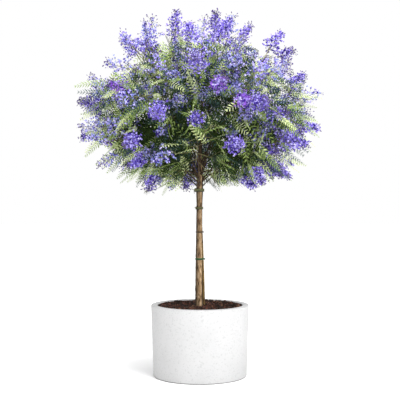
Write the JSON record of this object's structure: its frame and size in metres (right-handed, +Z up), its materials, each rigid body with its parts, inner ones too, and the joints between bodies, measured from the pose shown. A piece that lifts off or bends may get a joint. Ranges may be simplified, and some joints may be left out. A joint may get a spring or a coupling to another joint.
{
  "type": "potted jacaranda tree",
  "caption": "Small standard jacaranda in bloom: a slender trunk in a round white planter carries arching boughs and a rounded crown of feathery leaves and violet blossom.",
  "frame": {"origin": "centre of the planter's flat underside", "axes": "+Z up along the trunk, -Y towards the side seen in the picture, +X to that side's right"},
  "size_m": [1.3415, 1.2893, 2.0265],
  "materials": {
    "pot": "fine-grained matt cast stone, white",
    "soil": "loose potting soil with bark chips",
    "bark": "finely cracked bark, matt",
    "leaf": "soft satin leaf",
    "blossom": "soft matt petals",
    "tie_green": "matt soft tie",
    "tie_brown": "matt soft tie",
    "tie_olive": "matt soft tie",
    "tie_straw": "dull twisted straw"
  },
  "bodies": {
    "root": {"pot": "pot", "soil": "soil", "trunk": "bark", "side_stem": "bark", "tie_1": "tie_green", "tie_2": "tie_brown", "tie_3": "tie_olive", "tie_4": "tie_straw", "bough_skirt_1": "bark", "bough_skirt_2": "bark", "bough_skirt_3": "bark", "bough_skirt_4": "bark", "bough_skirt_5": "bark", "bough_skirt_6": "bark", "bough_belt_1": "bark", "bough_belt_2": "bark", "bough_belt_3": "bark", "bough_belt_4": "bark", "bough_belt_5": "bark", "bough_belt_6": "bark", "bough_shoulder_1": "bark", "bough_shoulder_2": "bark", "bough_shoulder_3": "bark", "bough_shoulder_4": "bark", "bough_shoulder_5": "bark", "bough_shoulder_6": "bark", "bough_top_1": "bark", "bough_top_2": "bark", "bough_top_3": "bark", "mass_under_1": "leaf", "mass_under_2": "leaf", "mass_under_3": "leaf", "mass_under_4": "leaf", "mass_under_5": "leaf", "mass_under_6": "leaf", "mass_inner_1": "leaf", "mass_inner_2": "leaf", "mass_inner_3": "leaf", "mass_skirt_1": "blossom", "mass_skirt_2": "blossom", "mass_skirt_3": "blossom", "mass_skirt_4": "blossom", "mass_skirt_5": "blossom", "mass_skirt_6": "blossom", "mass_belt_1": "blossom", "mass_belt_2": "blossom", "mass_belt_3": "blossom", "mass_belt_4": "blossom", "mass_belt_5": "blossom", "mass_belt_6": "blossom", "mass_shoulder_1": "blossom", "mass_shoulder_2": "blossom", "mass_shoulder_3": "blossom", "mass_shoulder_4": "blossom", "mass_shoulder_5": "blossom", "mass_shoulder_6": "blossom", "mass_top_1": "blossom", "mass_top_2": "blossom", "mass_top_3": "blossom"}
  },
  "joints": []
}
